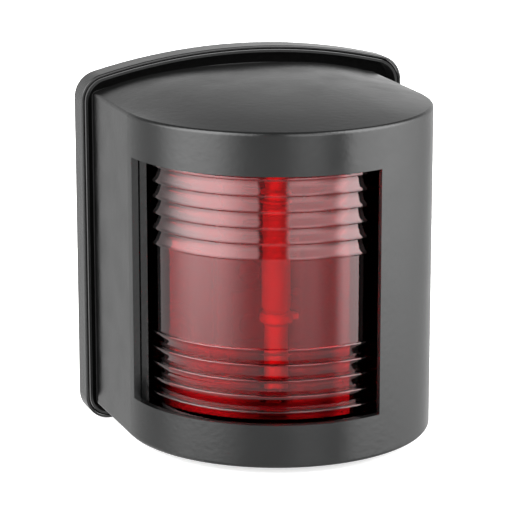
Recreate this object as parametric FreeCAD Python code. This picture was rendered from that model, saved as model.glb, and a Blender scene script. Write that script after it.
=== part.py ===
import FreeCAD, Part
import os
from math import cos, pi, radians, sin, sqrt

# Side navigation light (port, red) for a boat's cabin side. Millimetres.
# X runs fore and aft (bow at -X), -Y points outboard from the wall, +Z is up.
# The origin is on the wall plane, level with the middle of the lamp and lens.

V = FreeCAD.Vector

# Wall gasket and base plate
GASKET_T = 1.0
GASKET_INSET = 2.0
FLOOR_T = 1.4
RIM_H = 4.2
RIM_T = 1.25
PLATE_HALF_W = 32.3
PLATE_BOTTOM = -31.0
PLATE_APEX = 39.4
ARCH_R = 115.0
TOP_CORNER_R = 5.0
BOTTOM_CORNER_R = 4.5
BACK_ROUND = 1.2
FRONT_ROUND = 0.3
PLATE_BACK = -GASKET_T
FLOOR_Y = PLATE_BACK - FLOOR_T
RIM_FRONT = FLOOR_Y - RIM_H
GROOVE_INSET = 0.45
GROOVE_W = 0.35
GROOVE_DEPTH = 0.6

# Hood
HOOD_R = 28.9
AXIS_Y = -23.4
HOOD_BACK = FLOOR_Y - 0.2
HOOD_BOTTOM = -29.5
HOOD_EDGE_Z = 31.7
ROOF_RISE = 3.7
ROOF_POWER = 2.7
EDGE_ROUND = 0.7
ROOF_OVERHANG = 0.6
ROOF_COLUMNS = 16
ROOF_ROWS = 8
HOOD_WALL = 1.25
DECK_Z = 28.0
DECK_T = 1.2
DECK_INNER_R = 16.0
WINDOW_LOW = -21.4
WINDOW_HIGH = 24.0
WINDOW_BACK = -25.5
WINDOW_RIGHT = 9.6

# Cheeks that carry the hood, and the low spigot between them
CHEEK_OUTER = 27.4
CHEEK_T = 1.25
CHEEK_LOW = -24.3
CHEEK_HIGH = 25.2
CHEEK_FRONT = -26.0
SPIGOT_GAP = 0.2
SPIGOT_T = 1.3
SPIGOT_H = 5.0
SEAL_LIP = 0.15

# Lens
LENS_IN_R = 22.7
LENS_ROOT_R = 24.6
LENS_BAND_R = 25.3
LENS_TIP_R = 26.0
BAND_HALF_H = 8.1
RIB_PITCH = 2.9
RIBS = 6
FLANGE_LOW = 25.8
FLANGE_T = 1.2
FLANGE_R = 27.4
LENS_SKIRT = 2.6
SEAL_INSET = 0.2
SCREW_EAR_R = 3.2
LENS_SCREW_R = 20.2
LENS_SCREW_ANGLE = 60.0
LENS_SCREW_HEAD_R = 2.1
LENS_SCREW_HEAD_H = 1.4
LENS_SCREW_SHANK_R = 0.8
LENS_SCREW_L = 5.0

# Lamp
GLASS_R = 2.7
GLASS_T = 0.5
GLASS_HALF = 7.9
NECK_R = 2.1
NECK_TOP = 10.6
COLLAR_R = 3.1
COLLAR_TOP = 10.1
CAP_R = 2.2
CAP_TOP = 17.5
TIP_R = 1.0
TIP_TOP = 19.5
EAR_REACH = 4.2
EAR_HALF_W = 0.9
EAR_HALF_T = 0.5
CAP_T = 0.4
CAP_END_T = 0.5
FILAMENT_R = 0.22
FILAMENT_HALF = 5.5
LEAD_R = 0.15

# Contacts and their carrier
STRIP_T = 0.5
STRIP_W = 7.0
CARRIER_BACK = -5.4
CARRIER_T = 2.5
CARRIER_FRONT = CARRIER_BACK - CARRIER_T
CARRIER_LEFT = -6.5
CARRIER_RIGHT = 12.0
CARRIER_HALF_H = 19.0
ARM_GAP = 0.06
ARM_FRONT = AXIS_Y - 4.25
BEND_Z = CAP_TOP + ARM_GAP + STRIP_T / 2
BEND_Y = CARRIER_FRONT - STRIP_T / 2
SLOT_W = 2.4
FOOT_LOW = 7.6
FOOT_GAP = 0.25
RIVET_Z = 14.4
RIVET_R = 1.2
TAB_LOW = 8.2
TAB_HIGH = 15.2
TAB_REACH = 11.4
TERMINAL_X = 7.8
TERMINAL_Z = 11.7
CARRIER_SCREW_Z = 4.0
CARRIER_SCREW_R = 1.05
CARRIER_SCREW_L = 3.0
TERMINAL_SCREW_R = 1.25
CLAMP_HALF = 2.5
CLAMP_T = 0.8

# Interfaces to the boat
MOUNT_X = 17.5
MOUNT_HOLE_R = 2.1
MOUNT_BOSS_R = 4.4
MOUNT_BOSS_H = 3.0
POST_R = 2.8
CABLE_X = -15.0
CABLE_Z = -16.0
CABLE_HOLE_R = 4.5
GROMMET_FLANGE_R = 6.0
GROMMET_FLANGE_T = 1.2
SLEEVE_R = 4.6
SLEEVE_TIP_R = 3.7
SLEEVE_L = 2.6
CABLE_BORE_R = 2.9


def arch_wire(y, half_w, low, apex, arch_r, r_top, r_low):
    """Upright outline in the plane Y = y: flat foot, straight sides, arched top."""
    arch_z = apex - arch_r
    fillet_x = half_w - r_top
    fillet_z = arch_z + sqrt((arch_r - r_top) ** 2 - fillet_x ** 2)
    grow = arch_r / (arch_r - r_top)
    arch_x = fillet_x * grow
    arch_end = arch_z + (fillet_z - arch_z) * grow
    mid = V(fillet_x, 0, fillet_z) + corner_middle(fillet_x, fillet_z - arch_z, r_top)
    low_mid = V(half_w - r_low * (1 - cos(pi / 4)), 0, low + r_low * (1 - sin(pi / 4)))
    edges = [
        line(V(-half_w + r_low, 0, low), V(half_w - r_low, 0, low)),
        arc(V(half_w - r_low, 0, low), low_mid, V(half_w, 0, low + r_low)),
        line(V(half_w, 0, low + r_low), V(half_w, 0, fillet_z)),
        arc(V(half_w, 0, fillet_z), mid, V(arch_x, 0, arch_end)),
        arc(V(arch_x, 0, arch_end), V(0, 0, apex), V(-arch_x, 0, arch_end)),
        arc(V(-arch_x, 0, arch_end), mirrored(mid), V(-half_w, 0, fillet_z)),
        line(V(-half_w, 0, fillet_z), V(-half_w, 0, low + r_low)),
        arc(V(-half_w, 0, low + r_low), mirrored(low_mid), V(-half_w + r_low, 0, low)),
    ]
    wire = Part.Wire(edges)
    wire.translate(V(0, y, 0))
    return wire


def corner_middle(side, rise, radius):
    """Offset from a corner's centre to the middle of its arc, between +X and the arch's radius."""
    length = sqrt(side ** 2 + rise ** 2)
    bisector = V(1 + side / length, 0, rise / length)
    bisector.normalize()
    return bisector * radius


def mirrored(point):
    return V(-point.x, point.y, point.z)


def line(start, end):
    return Part.makeLine(start, end)


def arc(start, middle, end):
    return Part.Arc(start, middle, end).toShape()


def prism(wire, vector):
    return Part.Face(wire).extrude(vector)


def plate_prism(inset, y_from, y_to):
    """Slab with the base plate's outline, moved in by inset."""
    wire = arch_wire(y_from, PLATE_HALF_W - inset, PLATE_BOTTOM + inset, PLATE_APEX - inset,
                     ARCH_R - inset, TOP_CORNER_R - inset * 0.6, BOTTOM_CORNER_R - inset)
    return prism(wire, V(0, y_to - y_from, 0))


def hood_prism(inset, y_from, y_to):
    """Slab with the outline of the hood's back edge, moved in by inset."""
    half_w = HOOD_R - inset
    apex = HOOD_EDGE_Z + ROOF_RISE - inset
    corner = max(0.5, 1.2 - inset * 0.3)
    wire = arch_wire(y_from, half_w, HOOD_BOTTOM + inset, apex, ARCH_R - inset, corner, corner)
    return prism(wire, V(0, y_to - y_from, 0))


def cylinder(radius, height, base, direction):
    return Part.makeCylinder(radius, height, base, direction)


def box(low, high):
    size = high - low
    return Part.makeBox(size.x, size.y, size.z, low)


def revolved(profile, degrees=360.0):
    """Turn a closed list of (radius, z) points about the lamp's upright axis."""
    points = [V(radius, AXIS_Y, z) for radius, z in profile]
    face = Part.Face(Part.makePolygon(points + points[:1]))
    return face.revolve(V(0, AXIS_Y, 0), V(0, 0, 1), degrees)


def front_half(shape):
    keep = box(V(-60, -90, -60), V(60, AXIS_Y, 60))
    return shape.common(keep)


def joined(shapes):
    result = shapes[0]
    for shape in shapes[1:]:
        result = result.fuse(shape)
    return result.removeSplitter()


def save(name, shape):
    shape.exportStep("parts/%s.step" % name)
    print(name, round(shape.Volume, 1), "mm3, solids", len(shape.Solids), "valid", shape.isValid())


def screw_along_y(x, z, head_back, shank_end, head_r, head_h, shank_r):
    """Pan-head screw seen from the front: its head's underside is at Y = head_back."""
    head = cylinder(head_r, head_h, V(x, head_back, z), V(0, -1, 0))
    rim = [edge for edge in head.Edges if abs(edge.BoundBox.YMax - (head_back - head_h)) < 1e-6]
    head = head.makeFillet(head_h * 0.45, rim)
    shank = cylinder(shank_r, shank_end - head_back, V(x, head_back, z), V(0, 1, 0))
    slot = box(V(x - head_r - 1, head_back - head_h - 1, z - 0.3),
               V(x + head_r + 1, head_back - head_h * 0.45, z + 0.3))
    return head.fuse(shank).cut(slot)


# ---------------------------------------------------------------- wall side

def wall_gasket():
    pad = plate_prism(GASKET_INSET, 0.0, -GASKET_T)
    return pad.cut(mount_holes()).cut(cable_hole(GROMMET_FLANGE_R + 0.3))


def mount_holes():
    holes = [cylinder(MOUNT_HOLE_R, 12.0, V(side * MOUNT_X, 1.0, 0), V(0, -1, 0)) for side in (-1, 1)]
    return Part.makeCompound(holes)


def cable_hole(radius):
    return cylinder(radius, 12.0, V(CABLE_X, 1.0, CABLE_Z), V(0, -1, 0))


def base_plate():
    plate = plate_prism(0.0, PLATE_BACK, RIM_FRONT)
    back_edges = [e for e in plate.Edges if e.BoundBox.YMin > PLATE_BACK - 1e-6]
    plate = plate.makeFillet(BACK_ROUND, back_edges)
    front_edges = [e for e in plate.Edges if e.BoundBox.YMax < RIM_FRONT + 1e-6]
    plate = plate.makeFillet(FRONT_ROUND, front_edges)
    plate = plate.cut(plate_prism(RIM_T, FLOOR_Y, RIM_FRONT - 1.0))
    groove = plate_prism(GROOVE_INSET, RIM_FRONT + GROOVE_DEPTH, RIM_FRONT - 1.0)
    groove = groove.cut(plate_prism(GROOVE_INSET + GROOVE_W, RIM_FRONT + GROOVE_DEPTH, RIM_FRONT - 1.0))
    plate = plate.cut(groove).cut(seal_ring(FLOOR_Y - 1.0))
    pieces = [plate, spigot()] + [cheek(side) for side in (-1, 1)] + bosses()
    body = joined(pieces)
    body = body.cut(mount_holes()).cut(cable_hole(CABLE_HOLE_R)).cut(carrier_screw_holes())
    return body


def cheek(side):
    """Upright wall inside the hood; its front edge stands in the window's left end."""
    inner = CHEEK_OUTER - CHEEK_T
    low_x = -CHEEK_OUTER if side < 0 else inner
    return box(V(low_x, CHEEK_FRONT, CHEEK_LOW), V(low_x + CHEEK_T, FLOOR_Y + 0.2, CHEEK_HIGH))


def spigot():
    """Low wall just inside the hood's back edge, all the way round."""
    gap = HOOD_WALL + SPIGOT_GAP
    ring = hood_prism(gap, FLOOR_Y + 0.2, FLOOR_Y - SPIGOT_H)
    return ring.cut(hood_prism(gap + SPIGOT_T, FLOOR_Y + 0.5, FLOOR_Y - SPIGOT_H - 1.0))


def bosses():
    depth = FLOOR_Y + 0.2
    mounts = [cylinder(MOUNT_BOSS_R, MOUNT_BOSS_H + 0.2, V(side * MOUNT_X, depth, 0), V(0, -1, 0))
              for side in (-1, 1)]
    posts = [cylinder(POST_R, depth - CARRIER_BACK, V(0, depth, side * CARRIER_SCREW_Z), V(0, -1, 0))
             for side in (-1, 1)]
    return mounts + posts


def carrier_screw_holes():
    length = CARRIER_SCREW_L + 0.6
    start = CARRIER_BACK + length - 0.2
    holes = [cylinder(CARRIER_SCREW_R, length, V(0, start, side * CARRIER_SCREW_Z), V(0, -1, 0))
             for side in (-1, 1)]
    return Part.makeCompound(holes)


def seal_ring(front):
    """Rubber ring under the hood's back edge, let into the floor."""
    back = FLOOR_Y + 0.8
    ring = hood_prism(-SEAL_LIP, back, front)
    return ring.cut(hood_prism(HOOD_WALL + 0.1, back + 1.0, front - 1.0))


def cable_grommet():
    """Rubber bush in the floor's cable hole, with a flange on each side."""
    outer = cylinder(CABLE_HOLE_R, FLOOR_T, V(CABLE_X, PLATE_BACK, CABLE_Z), V(0, -1, 0))
    back = cylinder(GROMMET_FLANGE_R, GASKET_T, V(CABLE_X, 0, CABLE_Z), V(0, -1, 0))
    front = cylinder(GROMMET_FLANGE_R, GROMMET_FLANGE_T, V(CABLE_X, FLOOR_Y, CABLE_Z), V(0, -1, 0))
    sleeve_base = V(CABLE_X, FLOOR_Y - GROMMET_FLANGE_T, CABLE_Z)
    cone = Part.makeCone(SLEEVE_R, SLEEVE_TIP_R, SLEEVE_L, sleeve_base, V(0, -1, 0))
    return joined([outer, back, front, cone]).cut(cable_hole(CABLE_BORE_R))


# ---------------------------------------------------------------- contacts

def contact_carrier():
    plate = box(V(CARRIER_LEFT, CARRIER_FRONT, -CARRIER_HALF_H),
                V(CARRIER_RIGHT, CARRIER_BACK, CARRIER_HALF_H))
    upright = [e for e in plate.Edges if abs(e.BoundBox.YLength - CARRIER_T) < 1e-6]
    plate = plate.makeFillet(1.5, upright)
    places = [(0, CARRIER_SCREW_Z, 1.3), (0, RIVET_Z, RIVET_R), (TERMINAL_X, TERMINAL_Z, TERMINAL_SCREW_R)]
    holes = [cylinder(radius, 8.0, V(x, CARRIER_BACK + 1, side * z), V(0, -1, 0))
             for x, z, radius in places for side in (-1, 1)]
    return plate.cut(Part.makeCompound(holes))


def contact_foot():
    """Upper contact's flat foot, with the tab that takes the terminal screw."""
    top = BEND_Z - STRIP_T / 2 - FOOT_GAP
    back = CARRIER_FRONT
    front = CARRIER_FRONT - STRIP_T
    strip = box(V(-STRIP_W / 2, front, FOOT_LOW), V(STRIP_W / 2, back, top))
    tab = box(V(0, front, TAB_LOW), V(TAB_REACH, back, TAB_HIGH))
    corners = [e for e in tab.Edges if e.BoundBox.YLength > STRIP_T - 1e-6 and e.BoundBox.XMin > 1.0]
    foot = joined([strip, tab.makeFillet(0.9, corners)])
    rivet_hole = cylinder(RIVET_R, 4.0, V(0, back + 1, RIVET_Z), V(0, -1, 0))
    screw_hole = cylinder(TERMINAL_SCREW_R, 4.0, V(TERMINAL_X, back + 1, TERMINAL_Z), V(0, -1, 0))
    return foot.cut(rivet_hole).cut(screw_hole)


def contact_arm():
    """Upper contact's spring arm: a strip with an open-ended slot for the lamp's tip."""
    low = BEND_Z - STRIP_T / 2
    strip = box(V(-STRIP_W / 2, ARM_FRONT, low), V(STRIP_W / 2, BEND_Y, low + STRIP_T))
    root = cylinder(STRIP_T / 2, STRIP_W, V(-STRIP_W / 2, BEND_Y, BEND_Z), V(1, 0, 0))
    lip = box(V(-STRIP_W / 2, ARM_FRONT - STRIP_T, low), V(STRIP_W / 2, ARM_FRONT, low + 1.6))
    arm = joined([strip, root, lip])
    slot_round = cylinder(SLOT_W / 2, 6.0, V(0, AXIS_Y, low - 2), V(0, 0, 1))
    slot = box(V(-SLOT_W / 2, ARM_FRONT - 2, low - 2), V(SLOT_W / 2, AXIS_Y, low + 4))
    return arm.cut(slot_round).cut(slot)


def lower(shape):
    """The same piece below the lamp's middle."""
    return shape.mirror(V(0, 0, 0), V(0, 0, 1))


def contact_rivets():
    rivets = []
    for side in (-1, 1):
        top = CARRIER_FRONT - STRIP_T
        base = V(0, top, side * RIVET_Z)
        shank = cylinder(RIVET_R, CARRIER_T + STRIP_T, base, V(0, 1, 0))
        head = cylinder(2.1, 0.6, base, V(0, -1, 0))
        tail = cylinder(2.0, 0.5, V(0, CARRIER_BACK, side * RIVET_Z), V(0, 1, 0))
        rivets.append(joined([shank, head, tail]))
    return Part.makeCompound(rivets)


def carrier_screws():
    end = CARRIER_BACK + CARRIER_SCREW_L
    screws = [screw_along_y(0, side * CARRIER_SCREW_Z, CARRIER_FRONT, end, 2.1, 1.3, CARRIER_SCREW_R)
              for side in (-1, 1)]
    return Part.makeCompound(screws)


def clamp_plates():
    """Square washers that hold the feed wires under the terminal screws."""
    back = CARRIER_FRONT - STRIP_T
    plates = []
    for side in (-1, 1):
        middle = side * TERMINAL_Z
        plate = box(V(TERMINAL_X - CLAMP_HALF, back - CLAMP_T, middle - CLAMP_HALF),
                    V(TERMINAL_X + CLAMP_HALF, back, middle + CLAMP_HALF))
        hole = cylinder(TERMINAL_SCREW_R, 4.0, V(TERMINAL_X, back + 1, middle), V(0, -1, 0))
        plates.append(plate.cut(hole))
    return Part.makeCompound(plates)


def terminal_screws():
    under_head = CARRIER_FRONT - STRIP_T - CLAMP_T
    screws = []
    for side in (-1, 1):
        z = side * TERMINAL_Z
        screws.append(screw_along_y(TERMINAL_X, z, under_head, CARRIER_BACK, 2.3, 1.5, TERMINAL_SCREW_R))
    return Part.makeCompound(screws)


# ---------------------------------------------------------------- lamp

def lamp_glass():
    upper = [(GLASS_R, GLASS_HALF - 0.9), (GLASS_R - 0.25, GLASS_HALF - 0.3), (NECK_R, GLASS_HALF),
             (NECK_R, NECK_TOP), (NECK_R - GLASS_T, NECK_TOP), (NECK_R - GLASS_T, GLASS_HALF - 0.2),
             (GLASS_R - GLASS_T, GLASS_HALF - 1.1)]
    below = [(radius, -z) for radius, z in reversed(upper)]
    return revolved(upper + below)


def lamp_cap(with_ear):
    """Upper cap: collar round the glass's neck, tube and blunt contact tip."""
    bore = NECK_R
    profile = [(bore, GLASS_HALF + 0.05), (COLLAR_R - 0.3, GLASS_HALF + 0.05), (COLLAR_R, GLASS_HALF + 0.5),
               (COLLAR_R, COLLAR_TOP - 0.5), (CAP_R + 0.2, COLLAR_TOP), (CAP_R, COLLAR_TOP + 0.3),
               (CAP_R, CAP_TOP - 0.3), (CAP_R - 0.3, CAP_TOP), (TIP_R, CAP_TOP), (TIP_R, TIP_TOP - 0.6),
               (TIP_R - 0.4, TIP_TOP), (0, TIP_TOP), (0, CAP_TOP - CAP_END_T),
               (CAP_R - CAP_T, CAP_TOP - CAP_END_T - 0.2), (CAP_R - CAP_T, NECK_TOP), (bore, NECK_TOP)]
    cap = revolved(profile)
    if with_ear:
        middle = (GLASS_HALF + COLLAR_TOP) / 2
        ear = box(V(COLLAR_R - 0.4, AXIS_Y - EAR_HALF_W, middle - EAR_HALF_T),
                  V(EAR_REACH, AXIS_Y + EAR_HALF_W, middle + EAR_HALF_T))
        cap = joined([cap, ear])
    return cap


def lamp_filament():
    return cylinder(FILAMENT_R, 2 * FILAMENT_HALF, V(0, AXIS_Y, -FILAMENT_HALF), V(0, 0, 1))


def lamp_lead_wires():
    length = CAP_TOP - CAP_END_T - 0.02 - FILAMENT_HALF
    upper = cylinder(LEAD_R, length, V(0, AXIS_Y, FILAMENT_HALF), V(0, 0, 1))
    return Part.makeCompound([upper, lower(upper)])


# ---------------------------------------------------------------- hood

def hood_plan(inset):
    """Plan outline of the hood at Z = 0: straight sides that run into a half circle."""
    radius = HOOD_R - inset
    corners = [V(-radius, HOOD_BACK, 0), V(-radius, AXIS_Y, 0),
               V(radius, AXIS_Y, 0), V(radius, HOOD_BACK, 0)]
    edges = [line(corners[0], corners[1]), arc(corners[1], V(0, AXIS_Y - radius, 0), corners[2]),
             line(corners[2], corners[3]), line(corners[3], corners[0])]
    return Part.Wire(edges)


def roof_cutter(drop):
    """Everything above the roof, which is arched at the back and level along the front."""
    rows = []
    reach = HOOD_R + ROOF_OVERHANG
    for i in range(ROOF_COLUMNS + 1):
        angle = radians(-85.0 + 170.0 * i / ROOF_COLUMNS)
        x = reach * sin(angle)
        front_y = AXIS_Y - reach * cos(angle)
        rise = ROOF_RISE * (1 - (abs(x) / HOOD_R) ** ROOF_POWER)
        row = []
        for j in range(ROOF_ROWS + 1):
            t = -0.05 + 1.1 * j / ROOF_ROWS
            y = HOOD_BACK + (front_y - HOOD_BACK) * t
            row.append(V(x, y, HOOD_EDGE_Z - drop + rise * (1 - t * abs(t))))
        rows.append(row)
    surface = Part.BSplineSurface()
    surface.interpolate(rows)
    return surface.toShape().extrude(V(0, 0, 12.0))


def hood_block():
    """The hood's outside as one solid, with its long edges rounded."""
    top = HOOD_EDGE_Z + ROOF_RISE + 3.0
    block = prism(hood_plan(0.0), V(0, 0, top - HOOD_BOTTOM))
    block.translate(V(0, 0, HOOD_BOTTOM))
    block = block.cut(roof_cutter(0.0))
    rounded = [e for e in block.Edges
               if e.BoundBox.YMax < HOOD_BACK + 0.1 and e.BoundBox.YMin < HOOD_BACK - 1.0
               and (e.BoundBox.ZMax < HOOD_BOTTOM + 0.1 or e.BoundBox.ZMin > HOOD_EDGE_Z - 1.0)]
    return block.makeFillet(EDGE_ROUND, rounded)


def hood_shell():
    height = HOOD_EDGE_Z + ROOF_RISE + 3.0
    outer = hood_block()
    inner = prism(hood_plan(HOOD_WALL), V(0, 0, height - HOOD_BOTTOM))
    inner.translate(V(0, 0, HOOD_BOTTOM + HOOD_WALL))
    inner = inner.cut(roof_cutter(HOOD_WALL))
    mouth = hood_prism(HOOD_WALL, HOOD_BACK + 1.0, HOOD_BACK - 0.01)
    shell = outer.cut(inner).cut(mouth)
    shell = shell.fuse(deck().common(inner)).fuse(screw_bosses().common(inner)).fuse(lens_pegs())
    window = box(V(-60, -90, WINDOW_LOW), V(WINDOW_RIGHT, WINDOW_BACK, WINDOW_HIGH))
    shell = shell.cut(window).cut(lens_screw_holes()).removeSplitter()
    return shell


def deck():
    """Half ring inside the hood that the lens hangs from."""
    ring = cylinder(HOOD_R, DECK_T, V(0, AXIS_Y, DECK_Z), V(0, 0, 1))
    ring = ring.cut(cylinder(DECK_INNER_R, DECK_T, V(0, AXIS_Y, DECK_Z), V(0, 0, 1)))
    return front_half(ring)


def screw_places():
    angle = radians(LENS_SCREW_ANGLE)
    return [(side * LENS_SCREW_R * sin(angle), AXIS_Y - LENS_SCREW_R * cos(angle)) for side in (-1, 1)]


def screw_bosses():
    return joined([cylinder(2.6, 8.0, V(x, y, DECK_Z), V(0, 0, 1)) for x, y in screw_places()])


def lens_screw_holes():
    depth = FLANGE_LOW + LENS_SCREW_L - DECK_Z + 0.6
    holes = [cylinder(LENS_SCREW_SHANK_R, depth, V(x, y, DECK_Z - 0.1), V(0, 0, 1))
             for x, y in screw_places()]
    return Part.makeCompound(holes)


def lens_pegs():
    """Two pegs on the hood's floor that locate the lens's lower flange."""
    base = HOOD_BOTTOM + 0.5
    top = -FLANGE_LOW - 0.3
    return joined([cylinder(1.0, top - base, V(x, y, base), V(0, 0, 1)) for x, y in screw_places()])


# ---------------------------------------------------------------- lens

def lens():
    shell = front_half(revolved(lens_profile()))
    skirts = [lens_skirt(side) for side in (-1, 1)]
    flanges = [flange(FLANGE_LOW), flange(-FLANGE_LOW - FLANGE_T)]
    body = joined([shell] + skirts + flanges)
    for x, y in screw_places():
        body = body.cut(cylinder(1.2, 80.0, V(x, y, -40.0), V(0, 0, 1)))
    return body


def lens_profile():
    """Wall section: a smooth band, with saw-tooth ribs above and below it."""
    upper = [(LENS_BAND_R, BAND_HALF_H)]
    for k in range(RIBS):
        z = BAND_HALF_H + k * RIB_PITCH
        upper.append((LENS_TIP_R, z))
        upper.append((LENS_ROOT_R, z + RIB_PITCH))
    upper.append((LENS_ROOT_R, FLANGE_LOW + 0.1))
    below = [(radius, -z) for radius, z in reversed(upper)]
    inner = [(LENS_IN_R, -FLANGE_LOW - 0.1), (LENS_IN_R, FLANGE_LOW + 0.1)]
    return upper[::-1] + below[::-1] + inner


def lens_skirt(side):
    """Flat wall that carries the lens straight back past its half circle."""
    low = LENS_IN_R if side > 0 else -LENS_ROOT_R
    high = low + LENS_ROOT_R - LENS_IN_R
    return box(V(low, AXIS_Y, -FLANGE_LOW - 0.1), V(high, AXIS_Y + LENS_SKIRT, FLANGE_LOW + 0.1))


def flange(low):
    ring = cylinder(FLANGE_R, FLANGE_T, V(0, AXIS_Y, low), V(0, 0, 1))
    ring = front_half(ring.cut(cylinder(LENS_IN_R - 0.6, FLANGE_T, V(0, AXIS_Y, low), V(0, 0, 1))))
    ears = [cylinder(SCREW_EAR_R, FLANGE_T, V(x, y, low), V(0, 0, 1)) for x, y in screw_places()]
    return joined([ring] + ears)


def lens_seal(low, high):
    """Flat rubber half ring between a lens flange and the hood."""
    ring = cylinder(FLANGE_R - SEAL_INSET, high - low, V(0, AXIS_Y, low), V(0, 0, 1))
    return front_half(ring.cut(cylinder(LENS_IN_R + 0.4, high - low, V(0, AXIS_Y, low), V(0, 0, 1))))


def lens_screws():
    """Self-tapping screws that go up through the lens's ears into the hood."""
    screws = []
    head_low = FLANGE_LOW - LENS_SCREW_HEAD_H
    for x, y in screw_places():
        head = cylinder(LENS_SCREW_HEAD_R, LENS_SCREW_HEAD_H, V(x, y, head_low), V(0, 0, 1))
        rim = [e for e in head.Edges if e.BoundBox.ZMax < head_low + 0.1]
        shank = cylinder(LENS_SCREW_SHANK_R, LENS_SCREW_L, V(x, y, FLANGE_LOW), V(0, 0, 1))
        slot = box(V(x - 3, y - 0.3, FLANGE_LOW - 2.0), V(x + 3, y + 0.3, FLANGE_LOW - 0.8))
        screws.append(head.makeFillet(0.6, rim).fuse(shank).cut(slot))
    return Part.makeCompound(screws)


def build():
    os.makedirs("parts", exist_ok=True)
    save("wall_gasket", wall_gasket())
    save("base_plate", base_plate())
    save("hood_seal", seal_ring(FLOOR_Y - 0.1))
    save("cable_grommet", cable_grommet())
    save("contact_carrier", contact_carrier())
    save("carrier_screws", carrier_screws())
    save("contact_rivets", contact_rivets())
    save("terminal_clamp_plates", clamp_plates())
    save("terminal_screws", terminal_screws())
    save("upper_contact_foot", contact_foot())
    save("lower_contact_foot", lower(contact_foot()))
    save("upper_contact_arm", contact_arm())
    save("lower_contact_arm", lower(contact_arm()))
    save("lamp_glass", lamp_glass())
    save("lamp_cap_upper", lamp_cap(False))
    save("lamp_cap_lower", lower(lamp_cap(True)))
    save("lamp_filament", lamp_filament())
    save("lamp_lead_wires", lamp_lead_wires())
    save("hood_shell", hood_shell())
    save("lens", lens())
    save("lens_seal_upper", lens_seal(FLANGE_LOW + FLANGE_T, DECK_Z))
    save("lens_seal_lower", lens_seal(HOOD_BOTTOM + HOOD_WALL, -FLANGE_LOW - FLANGE_T))
    save("lens_screws", lens_screws())


build()
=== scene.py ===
import math

import bmesh
import bpy
from mathutils import Matrix, Vector


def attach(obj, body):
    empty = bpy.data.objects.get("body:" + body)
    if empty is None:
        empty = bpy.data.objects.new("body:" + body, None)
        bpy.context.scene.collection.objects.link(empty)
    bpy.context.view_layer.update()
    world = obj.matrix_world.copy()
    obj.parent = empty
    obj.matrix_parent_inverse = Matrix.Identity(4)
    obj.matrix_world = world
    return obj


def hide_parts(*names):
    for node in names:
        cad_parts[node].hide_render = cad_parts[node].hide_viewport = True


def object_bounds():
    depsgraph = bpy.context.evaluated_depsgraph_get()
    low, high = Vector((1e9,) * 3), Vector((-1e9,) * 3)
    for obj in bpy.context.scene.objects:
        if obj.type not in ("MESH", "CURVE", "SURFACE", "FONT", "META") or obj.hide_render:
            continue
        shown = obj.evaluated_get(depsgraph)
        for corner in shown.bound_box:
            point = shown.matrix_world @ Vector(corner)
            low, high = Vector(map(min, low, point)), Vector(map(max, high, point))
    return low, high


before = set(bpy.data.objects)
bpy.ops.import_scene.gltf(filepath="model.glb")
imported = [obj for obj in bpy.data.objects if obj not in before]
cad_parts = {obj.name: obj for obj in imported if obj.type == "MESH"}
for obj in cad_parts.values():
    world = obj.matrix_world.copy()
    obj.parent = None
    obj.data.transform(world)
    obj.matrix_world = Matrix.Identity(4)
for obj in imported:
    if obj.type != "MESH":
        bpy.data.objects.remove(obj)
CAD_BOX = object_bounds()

MM = 0.001

# dimensions in millimetres, as in the CAD model
GASKET_T = 1.0
FLOOR_T = 1.4
RIM_H = 4.2
AXIS_Y = -23.4
HOOD_R = 28.9
HOOD_WALL = 1.25
DECK_TOP = 29.3
CHEEK_OUTER = 27.4
CHEEK_T = 1.25
LENS_IN_R = 22.7
LENS_TIP_R = 26.0
BAND_HALF_H = 8.1
RIB_PITCH = 2.9
RIBS = 6
FLANGE_LOW = 25.8
FLANGE_T = 1.2
FLANGE_R = 27.4
FLANGE_LIP = 0.6
FLANGE_IN_R = LENS_IN_R - FLANGE_LIP
LENS_SKIRT = 2.6
EAR_R = 3.2
EAR_HOLE_R = 1.2
HOLE_OVERRUN = 0.5
EAR_PLACE_R = 20.2
EAR_ANGLE = math.radians(60.0)

# millimetres: this lens's ribs are shallower than the CAD model's, whose root is at 24.6 and band at 25.3
LENS_ROOT_R = 25.15
LENS_BAND_R = 25.5

# millimetres, for detail that the CAD model doesn't have
RIB_LAND = 0.45
RIB_ROUND = 0.1
RIB_HOLLOW = 0.12
RIB_GAP = 0.01
COIL_R = 0.17
COIL_WIRE_R = 0.045
COIL_TURNS = 44
COIL_HALF = 5.5

# a round corner's middle point, as a share of its radius
ROUND_MIDDLE = 0.3

# how finely the curved pieces are divided, and the sharpest angle in degrees that is shaded smooth
RIB_STEPS = 6
LENS_STEPS = 144
CYLINDER_SIDES = 48
WIRE_SIDES = 8
STEPS_PER_TURN = 18
LENS_SHARP = 24
COIL_SHARP = 60

# metres: vertices nearer than this become one
MERGE = 1e-7

# millimetres: the strips at the rim's front and at the plate's back that keep the outer finish
RIM_EDGE = 0.6
BACK_EDGE = 0.3

# millimetres of slack, so that faces lying on an inner wall or on the lens's end count as wanted
CHEEK_SLACK = 0.02
HOOD_SLACK = 0.03
SKIRT_SLACK = 0.01

# the Y part of a normal that counts as facing the front
FACING_FRONT = -0.9

# the part of a noise texture's range in which nearly all of it lies
NOISE_LOW = 0.3
NOISE_HIGH = 0.7

# ---------------------------------------------------------------- camera

CAMERA_AZIMUTH = math.radians(20.67)
CAMERA_ELEVATION = math.radians(14.32)
CAMERA_DISTANCE = 0.49818
CAMERA_TARGET = Vector((0.0, -0.0170, 0.00075))
SENSOR_MM = 36.0
FOCAL_MM = 185.97
SHIFT_X = -0.01792
SHIFT_Y = 0.00457


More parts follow.
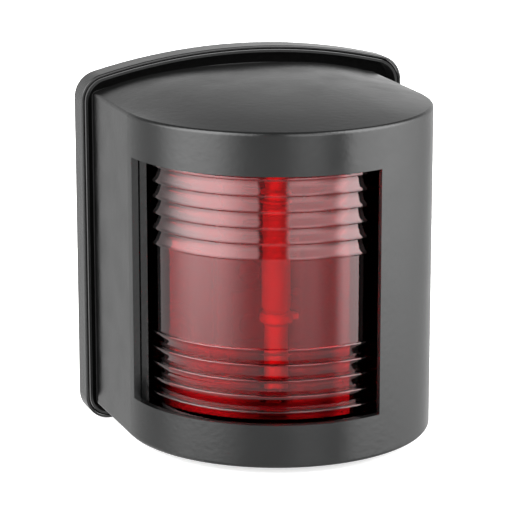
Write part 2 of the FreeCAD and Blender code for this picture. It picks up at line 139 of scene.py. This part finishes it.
def make_camera():
    """The product shot's long lens, from the left and a little above."""
    back = Vector((-math.sin(CAMERA_AZIMUTH) * math.cos(CAMERA_ELEVATION),
                   -math.cos(CAMERA_AZIMUTH) * math.cos(CAMERA_ELEVATION), math.sin(CAMERA_ELEVATION)))
    right = Vector((math.cos(CAMERA_AZIMUTH), -math.sin(CAMERA_AZIMUTH), 0.0))
    up = back.cross(right)
    camera = bpy.data.objects.new("camera", bpy.data.cameras.new("camera"))
    turn = Matrix((
        (right.x, up.x, back.x, 0),
        (right.y, up.y, back.y, 0),
        (right.z, up.z, back.z, 0),
        (0, 0, 0, 1)))
    camera.matrix_world = Matrix.Translation(CAMERA_TARGET + back * CAMERA_DISTANCE) @ turn
    camera.data.sensor_width = SENSOR_MM
    camera.data.lens = FOCAL_MM
    camera.data.shift_x = SHIFT_X
    camera.data.shift_y = SHIFT_Y
    camera.data.clip_start = 0.01
    bpy.context.collection.objects.link(camera)
    bpy.context.scene.camera = camera


# ---------------------------------------------------------------- materials

class Nodes:
    """Short helper that builds a material's node tree."""

    def __init__(self, name):
        self.material = bpy.data.materials.new(name)
        self.material.use_nodes = True
        self.tree = self.material.node_tree
        self.shader = self.tree.nodes["Principled BSDF"]

    def new(self, kind, **inputs):
        node = self.tree.nodes.new(kind)
        for key, value in inputs.items():
            node.inputs[key.replace("_", " ")].default_value = value
        return node

    def link(self, source, target):
        self.tree.links.new(source, target)

    def set(self, **inputs):
        for key, value in inputs.items():
            self.shader.inputs[key.replace("_", " ")].default_value = value

    def noise(self, scale, detail, roughness=0.5):
        where = self.new("ShaderNodeTexCoord")
        noise = self.new("ShaderNodeTexNoise", Scale=scale, Detail=detail, Roughness=roughness)
        self.link(where.outputs["Object"], noise.inputs["Vector"])
        return noise.outputs["Fac"]

    def ramp(self, value, low, high):
        spread = self.new("ShaderNodeMapRange", To_Min=low, To_Max=high)
        spread.inputs["From Min"].default_value = NOISE_LOW
        spread.inputs["From Max"].default_value = NOISE_HIGH
        self.link(value, spread.inputs["Value"])
        return spread.outputs["Result"]

    def uneven_gloss(self, low, high, scale, detail):
        """Roughness that wanders between two values."""
        self.link(self.ramp(self.noise(scale, detail), low, high), self.shader.inputs["Roughness"])

    def grain(self, scale, detail, distance, strength, roughness=0.5):
        """Fine bumps, whose distance is their height in metres."""
        bump = self.new("ShaderNodeBump", Strength=strength, Distance=distance)
        self.link(self.noise(scale, detail, roughness), bump.inputs["Height"])
        self.link(bump.outputs["Normal"], self.shader.inputs["Normal"])


def moulded_black(name, colour, roughness):
    """Satin-gloss moulded plastic: faint orange peel and slow changes in gloss."""
    n = Nodes(name)
    n.set(Base_Color=(*colour, 1.0), IOR=1.5)
    n.uneven_gloss(roughness - 0.04, roughness + 0.05, scale=140.0, detail=3.0)
    n.grain(scale=1000.0, detail=2.0, distance=0.00005, strength=0.4)
    return n.material


def red_clear(name):
    """Clear red polycarbonate: a white gloss over a red one.

    The red one stands for the light that the lens's far side returns.
    """
    n = Nodes(name)
    n.set(Base_Color=(0.72, 0.012, 0.018, 1.0), IOR=1.55, Transmission_Weight=1.0)
    n.set(Specular_Tint=(0.55, 0.04, 0.05, 1.0), Coat_Weight=1.0, Coat_IOR=1.52, Coat_Roughness=0.01)
    n.uneven_gloss(0.035, 0.05, scale=160.0, detail=3.0)
    return n.material


def painted_shade_material(name):
    """Near-black matt material with a fine grain, giving back hardly any light: painted shade for
    recesses and hidden insides.
    """
    n = Nodes(name)
    n.set(Base_Color=(0.002, 0.002, 0.002, 1.0), Specular_IOR_Level=0.04)
    n.uneven_gloss(0.75, 0.95, scale=1800.0, detail=3.0)
    n.grain(scale=2600.0, detail=3.0, distance=0.00003, strength=0.5)
    return n.material


def metal(name, colour, roughness, grain, metallic=1.0):
    """Dull metal with a fine grain."""
    n = Nodes(name)
    n.set(Base_Color=(*colour, 1.0), Metallic=metallic)
    n.uneven_gloss(roughness * 0.7, roughness * 1.3, scale=grain, detail=4.0)
    n.grain(scale=grain * 2, detail=2.0, distance=0.00001, strength=0.4)
    return n.material


def rubber(name, colour, grain):
    """Matt rubber or foam with a coarse grain."""
    n = Nodes(name)
    n.set(Base_Color=(*colour, 1.0), Roughness=0.75)
    n.grain(scale=grain, detail=4.0, distance=0.00008, strength=0.6, roughness=0.6)
    return n.material


def dull_plastic(name, colour):
    """Moulded plastic of an inside part."""
    n = Nodes(name)
    n.set(Base_Color=(*colour, 1.0), Roughness=0.5)
    n.grain(scale=1500.0, detail=3.0, distance=0.00003, strength=0.4)
    return n.material


def frosted_glass(name):
    """White glass that lets about a third of the light through."""
    n = Nodes(name)
    n.set(Base_Color=(0.92, 0.92, 0.91, 1.0), IOR=1.47, Transmission_Weight=0.35)
    n.uneven_gloss(0.35, 0.5, scale=1500.0, detail=3.0)
    n.grain(scale=3000.0, detail=2.0, distance=0.00001, strength=0.4)
    return n.material


def dress(node, material):
    """Gives a CAD node one material in place of its own."""
    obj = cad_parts[node]
    obj.data.materials.clear()
    obj.data.materials.append(material)


def paint_inside_shade(material):
    """Paints shade on the channel round the hood, and on the insides of the plate and the hood, with a
    near-black grained material.
    """
    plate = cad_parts["base_plate"].data
    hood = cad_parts["hood_shell"].data
    plate.materials.append(material)
    hood.materials.append(material)
    back = CAD_BOX[1].y
    rim_front = back - (GASKET_T + FLOOR_T + RIM_H) * MM
    plate_back = back - (GASKET_T + BACK_EDGE) * MM
    cheek_inner = (CHEEK_OUTER - CHEEK_T + CHEEK_SLACK) * MM
    for face in plate.polygons:
        x, y, z = face.center
        inward = face.normal.x * x + face.normal.z * z < 0
        behind_rim = rim_front + RIM_EDGE * MM < y < plate_back
        channel = behind_rim and (face.normal.y < FACING_FRONT or inward)
        within = abs(x) < cheek_inner and abs(z) < DECK_TOP * MM and y < plate_back
        if channel or within:
            face.material_index = 1
    for face in hood.polygons:
        x, y, z = face.center / MM
        out = math.hypot(x, y - AXIS_Y) if y < AXIS_Y else abs(x)
        if out < HOOD_R - HOOD_WALL + HOOD_SLACK and z < DECK_TOP:
            face.material_index = 1


def dress_all():
    """Gives every CAD node its finish, and paints shade into the channel and the insides."""
    hood_black = moulded_black("hood_black", (0.0045, 0.0048, 0.0048), 0.22)
    base_black = moulded_black("base_black", (0.0045, 0.0047, 0.0047), 0.18)
    seal = rubber("seal_black", (0.012, 0.012, 0.012), 2500.0)
    foam = rubber("foam_black", (0.02, 0.02, 0.02), 1200.0)
    brass = metal("contact_brass", (0.16, 0.11, 0.05), 0.45, 700.0)
    steel = metal("screw_steel", (0.14, 0.14, 0.14), 0.42, 900.0)
    tinned = metal("cap_tinned", (0.92, 0.90, 0.88), 0.5, 800.0, 0.35)
    tungsten = metal("tungsten", (0.30, 0.30, 0.31), 0.4, 3000.0)
    dress("hood_shell", hood_black)
    dress("base_plate", base_black)
    # a mirror image of the plate would darken the hood's side and roof near it
    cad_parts["base_plate"].visible_glossy = False
    # painted shade: the channel round the hood and the insides of the plate and the hood go near-black
    paint_inside_shade(painted_shade_material("painted_shade_black"))
    for node in ("hood_seal", "cable_grommet", "lens_seal_upper", "lens_seal_lower"):
        dress(node, seal)
    dress("wall_gasket", foam)
    dress("contact_carrier", dull_plastic("carrier_black", (0.012, 0.012, 0.012)))
    for node in ("upper_contact_foot", "lower_contact_foot", "upper_contact_arm", "lower_contact_arm",
                 "contact_rivets"):
        dress(node, brass)
    for node in ("carrier_screws", "terminal_screws", "terminal_clamp_plates", "lens_screws"):
        dress(node, steel)
    dress("lamp_glass", frosted_glass("lamp_frosted"))
    dress("lamp_cap_upper", tinned)
    dress("lamp_cap_lower", tinned)
    dress("lamp_filament", tungsten)
    dress("lamp_lead_wires", tungsten)


# ---------------------------------------------------------------- pieces

def add_piece(name, mesh, body, material, slot, *nodes):
    """Adds a piece that moves with a body and stands for CAD nodes."""
    obj = bpy.data.objects.new(name, mesh)
    mesh.materials.append(material)
    bpy.context.collection.objects.link(obj)
    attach(obj, body)
    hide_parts(*nodes)
    return obj


def bridge(bm, rings):
    """Joins rings of vertices into a tube and closes its ends."""
    size = len(rings[0])
    for ring, following in zip(rings, rings[1:]):
        for j in range(size):
            k = (j + 1) % size
            bm.faces.new((ring[j], ring[k], following[k], following[j]))
    bm.faces.new(rings[0])
    bm.faces.new(rings[-1][::-1])


def finished_mesh(bm, name):
    mesh = bpy.data.meshes.new(name)
    bm.to_mesh(mesh)
    bm.free()
    return mesh


def shade(mesh, angle):
    """Smooth shading that leaves edges sharper than the angle, in degrees, as edges."""
    for face in mesh.polygons:
        face.use_smooth = True
    mesh.set_sharp_from_angle(angle=math.radians(angle))


def rib(z):
    """One rib's section, from its ledge up to the next rib's ledge."""
    points = [(LENS_TIP_R - RIB_ROUND, z),
              (LENS_TIP_R - ROUND_MIDDLE * RIB_ROUND, z + ROUND_MIDDLE * RIB_ROUND),
              (LENS_TIP_R, z + RIB_ROUND), (LENS_TIP_R, z + RIB_LAND - RIB_ROUND)]
    for i in range(1, RIB_STEPS + 1):
        t = i / RIB_STEPS
        hollow = RIB_HOLLOW * 4 * t * (1 - t)
        points.append((LENS_TIP_R + (LENS_ROOT_R - LENS_TIP_R) * t - hollow,
                       z + RIB_LAND + (RIB_PITCH - RIB_LAND - RIB_GAP) * t))
    return points


def lens_section(flanged):
    """Closed section of the lens wall, with its flanges or with their place left flat."""
    outer = [(LENS_BAND_R, 0.0), (LENS_BAND_R, BAND_HALF_H)]
    for k in range(RIBS):
        outer += rib(BAND_HALF_H + k * RIB_PITCH)
    edge = FLANGE_R if flanged else LENS_ROOT_R
    lip = FLANGE_IN_R if flanged else LENS_IN_R
    outer += [(LENS_ROOT_R, FLANGE_LOW), (edge, FLANGE_LOW), (edge, FLANGE_LOW + FLANGE_T)]
    inner = [(lip, FLANGE_LOW + FLANGE_T), (lip, FLANGE_LOW), (LENS_IN_R, FLANGE_LOW)]
    upper = outer + inner
    return upper + [(r, -z) for r, z in reversed(upper[1:])]


def lens_rings():
    """The section's places along the lens's plan: straight, half round and straight."""
    flat = lens_section(False)
    full = lens_section(True)
    rings = []
    for back in (LENS_SKIRT, 0.0):
        rings.append([(-r, AXIS_Y + back, z) for r, z in flat])
    for i in range(LENS_STEPS + 1):
        a = math.radians(-90.0 + 180.0 * i / LENS_STEPS)
        rings.append([(r * math.sin(a), AXIS_Y - r * math.cos(a), z) for r, z in full])
    for back in (0.0, LENS_SKIRT):
        rings.append([(r, AXIS_Y + back, z) for r, z in flat])
    return rings


def closed_cylinder(bm, x, y, low, high, radius):
    made = bmesh.ops.create_cone(
        bm, cap_ends=True, segments=CYLINDER_SIDES,
        radius1=radius * MM, radius2=radius * MM, depth=(high - low) * MM)
    bmesh.ops.translate(bm, verts=made["verts"], vec=Vector((x, y, (low + high) / 2)) * MM)


def ear_places():
    """X and Y of the two ears that take the lens screws."""
    return [(side * EAR_PLACE_R * math.sin(EAR_ANGLE), AXIS_Y - EAR_PLACE_R * math.cos(EAR_ANGLE))
            for side in (-1, 1)]


def cut_or_join(obj, operation, tool_mesh):
    """Applies a solid operation to the object's mesh and returns the result."""
    tool = bpy.data.objects.new("tool", tool_mesh)
    bpy.context.collection.objects.link(tool)
    modifier = obj.modifiers.new("solid", "BOOLEAN")
    modifier.operation = operation
    modifier.solver = "EXACT"
    modifier.object = tool
    result = bpy.data.meshes.new_from_object(obj.evaluated_get(bpy.context.evaluated_depsgraph_get()))
    obj.modifiers.clear()
    bpy.data.objects.remove(tool)
    return result


def make_lens():
    """Ribbed red lens with its flanges and screw ears."""
    bm = bmesh.new()
    rings = [[bm.verts.new(Vector(p) * MM) for p in ring] for ring in lens_rings()]
    bridge(bm, rings)
    bmesh.ops.remove_doubles(bm, verts=bm.verts, dist=MERGE)
    bmesh.ops.dissolve_degenerate(bm, edges=bm.edges, dist=MERGE)
    bmesh.ops.recalc_face_normals(bm, faces=bm.faces)
    mesh = finished_mesh(bm, "red_lens")
    lens = add_piece("red_lens", mesh, "hood", red_clear("red_clear"), "red_lens", "lens")
    ears = bmesh.new()
    holes = bmesh.new()
    for x, y in ear_places():
        for low in (FLANGE_LOW, -FLANGE_LOW - FLANGE_T):
            closed_cylinder(ears, x, y, low, low + FLANGE_T, EAR_R)
            closed_cylinder(holes, x, y, low - HOLE_OVERRUN, low + FLANGE_T + HOLE_OVERRUN, EAR_HOLE_R)
    for operation, tool in (("UNION", ears), ("DIFFERENCE", holes)):
        lens.data = cut_or_join(lens, operation, finished_mesh(tool, "tool"))
    shade(lens.data, LENS_SHARP)
    # painted shade: the lens's straight skirts behind the axis take the near-black material
    lens.data.materials.append(bpy.data.materials["painted_shade_black"])
    for face in lens.data.polygons:
        if face.center.y > (AXIS_Y + SKIRT_SLACK) * MM:
            face.material_index = 1


def make_filament():
    """Coiled tungsten wire."""
    pitch = 2 * COIL_HALF / COIL_TURNS
    bm = bmesh.new()
    rings = []
    for i in range(COIL_TURNS * STEPS_PER_TURN + 1):
        a = 2 * math.pi * i / STEPS_PER_TURN
        out = Vector((math.cos(a), math.sin(a), 0.0))
        middle = Vector((0, AXIS_Y, -COIL_HALF + pitch * i / STEPS_PER_TURN)) + out * COIL_R
        rings.append([])
        for j in range(WIRE_SIDES):
            b = 2 * math.pi * j / WIRE_SIDES
            offset = (out * math.cos(b) + Vector((0, 0, 1)) * math.sin(b)) * COIL_WIRE_R
            rings[-1].append(bm.verts.new((middle + offset) * MM))
    bridge(bm, rings)
    bmesh.ops.recalc_face_normals(bm, faces=bm.faces)
    mesh = finished_mesh(bm, "filament_coil")
    shade(mesh, COIL_SHARP)
    tungsten = bpy.data.materials["tungsten"]
    add_piece("filament_coil", mesh, "lamp", tungsten, "tungsten", "lamp_filament")


# ---------------------------------------------------------------- stage and light

# metres
FLOOR_HALF = 3.0
FLOOR_GAP = 0.00005

FLOOR_GLOW = 0.6

# millimetres
BACKING_INSET = 3
BACKING_GAP = 0.2

# brightness, then where the left, right, bottom and top edges fade, in degrees: on the left, on the
# right, low in front, and a wide one above the front
SOFTBOXES = (
    (4.5, (-124, -88), (-74, -38), (-22, -9), (56, 72)),
    (4.2, (27, 39), (50, 124), (-24, -9), (56, 72)),
    (1.5, (-18, 0), (8, 24), (-22, -8), (10, 26)),
    (2.7, (-135, -108), (72, 108), (2, 20), (50, 66)))

# share of the light that is missing, then its edges: the dark gap that the ribs show over the lamp
DARK_GAP = (0.92, (-38, -34), (-14, -9), (4, 12), (80, 89))

# elevations between which the room darkens, then its brightness below and above them
ROOM = (8.0, 36.0, 0.80, 0.20)


def add_quad(name, corners, material):
    mesh = bpy.data.meshes.new(name)
    mesh.from_pydata(corners, [], [(0, 1, 2, 3)])
    mesh.materials.append(material)
    obj = bpy.data.objects.new(name, mesh)
    bpy.context.collection.objects.link(obj)
    return obj


def make_floor():
    """White floor that glows a little, so that it stays white with nearly no shadow."""
    n = Nodes("floor_white")
    n.set(Base_Color=(0.92, 0.92, 0.92, 1.0), Roughness=0.9)
    n.set(Emission_Color=(1.0, 1.0, 1.0, 1.0), Emission_Strength=FLOOR_GLOW)
    z = CAD_BOX[0][2] - FLOOR_GAP
    corners = [(x * FLOOR_HALF, y * FLOOR_HALF, z) for x, y in ((-1, -1), (1, -1), (1, 1), (-1, 1))]
    floor = add_quad("floor", corners, n.material)
    floor.visible_glossy = False


def make_shade_backing():
    """Painted shade: a dark sheet behind the plate's open holes, seen only through the lens."""
    low, high = CAD_BOX
    left = low.x + BACKING_INSET * MM
    right = high.x - BACKING_INSET * MM
    bottom = low.z + BACKING_INSET * MM
    top = high.z - BACKING_INSET * MM
    y = high.y + BACKING_GAP * MM
    corners = [(left, y, bottom), (right, y, bottom), (right, y, top), (left, y, top)]
    shade_backing = add_quad("shade_backing", corners, painted_shade_material("painted_shade_backing"))
    shade_backing.visible_camera = False
    shade_backing.visible_diffuse = False
    shade_backing.visible_glossy = False
    shade_backing.visible_shadow = False


class Sky:
    """Short helper that builds the studio's brightness as a function of direction, in degrees."""

    def __init__(self, tree):
        self.tree = tree
        where = tree.nodes.new("ShaderNodeTexCoord")
        parts = tree.nodes.new("ShaderNodeSeparateXYZ")
        tree.links.new(where.outputs["Generated"], parts.inputs[0])
        front = self.math("MULTIPLY", parts.outputs["Y"], -1.0)
        self.azimuth = self.math("DEGREES", self.math("ARCTAN2", parts.outputs["X"], front))
        self.elevation = self.math("DEGREES", self.math("ARCSINE", parts.outputs["Z"]))

    def math(self, operation, *values):
        node = self.tree.nodes.new("ShaderNodeMath")
        node.operation = operation
        for socket, value in zip(node.inputs, values):
            if isinstance(value, (int, float)):
                socket.default_value = value
            else:
                self.tree.links.new(value, socket)
        return node.outputs[0]

    def step(self, value, start, stop, low=0.0, high=1.0):
        node = self.tree.nodes.new("ShaderNodeMapRange")
        node.interpolation_type = "SMOOTHSTEP"
        node.inputs["From Min"].default_value = start
        node.inputs["From Max"].default_value = stop
        node.inputs["To Min"].default_value = low
        node.inputs["To Max"].default_value = high
        self.tree.links.new(value, node.inputs["Value"])
        return node.outputs["Result"]

    def softbox(self, brightness, left, right, bottom, top):
        """Soft-edged light; each edge fades between its two angles, azimuth positive to the right."""
        across = self.math("MULTIPLY", self.step(self.azimuth, *left),
                           self.step(self.azimuth, *right, 1.0, 0.0))
        upright = self.math("MULTIPLY", self.step(self.elevation, *bottom),
                            self.step(self.elevation, *top, 1.0, 0.0))
        return self.math("MULTIPLY", self.math("MULTIPLY", across, upright), brightness)


def make_world():
    """White room with a dark ceiling, large soft lights and one dark gap in them."""
    world = bpy.data.worlds.new("studio")
    world.use_nodes = True
    bpy.context.scene.world = world
    sky = Sky(world.node_tree)
    total = sky.step(sky.elevation, *ROOM)
    for light in SOFTBOXES:
        total = sky.math("ADD", total, sky.softbox(*light))
    total = sky.math("MULTIPLY", total, sky.math("SUBTRACT", 1.0, sky.softbox(*DARK_GAP)))
    background = world.node_tree.nodes["Background"]
    background.inputs["Color"].default_value = (1.0, 1.0, 1.0, 1.0)
    world.node_tree.links.new(total, background.inputs["Strength"])


def light_stage():
    """Sets the studio's light and shows its colours as they are."""
    make_world()
    bpy.context.scene.view_settings.view_transform = "Standard"


make_camera()
dress_all()
make_lens()
make_filament()
make_floor()
make_shade_backing()
light_stage()
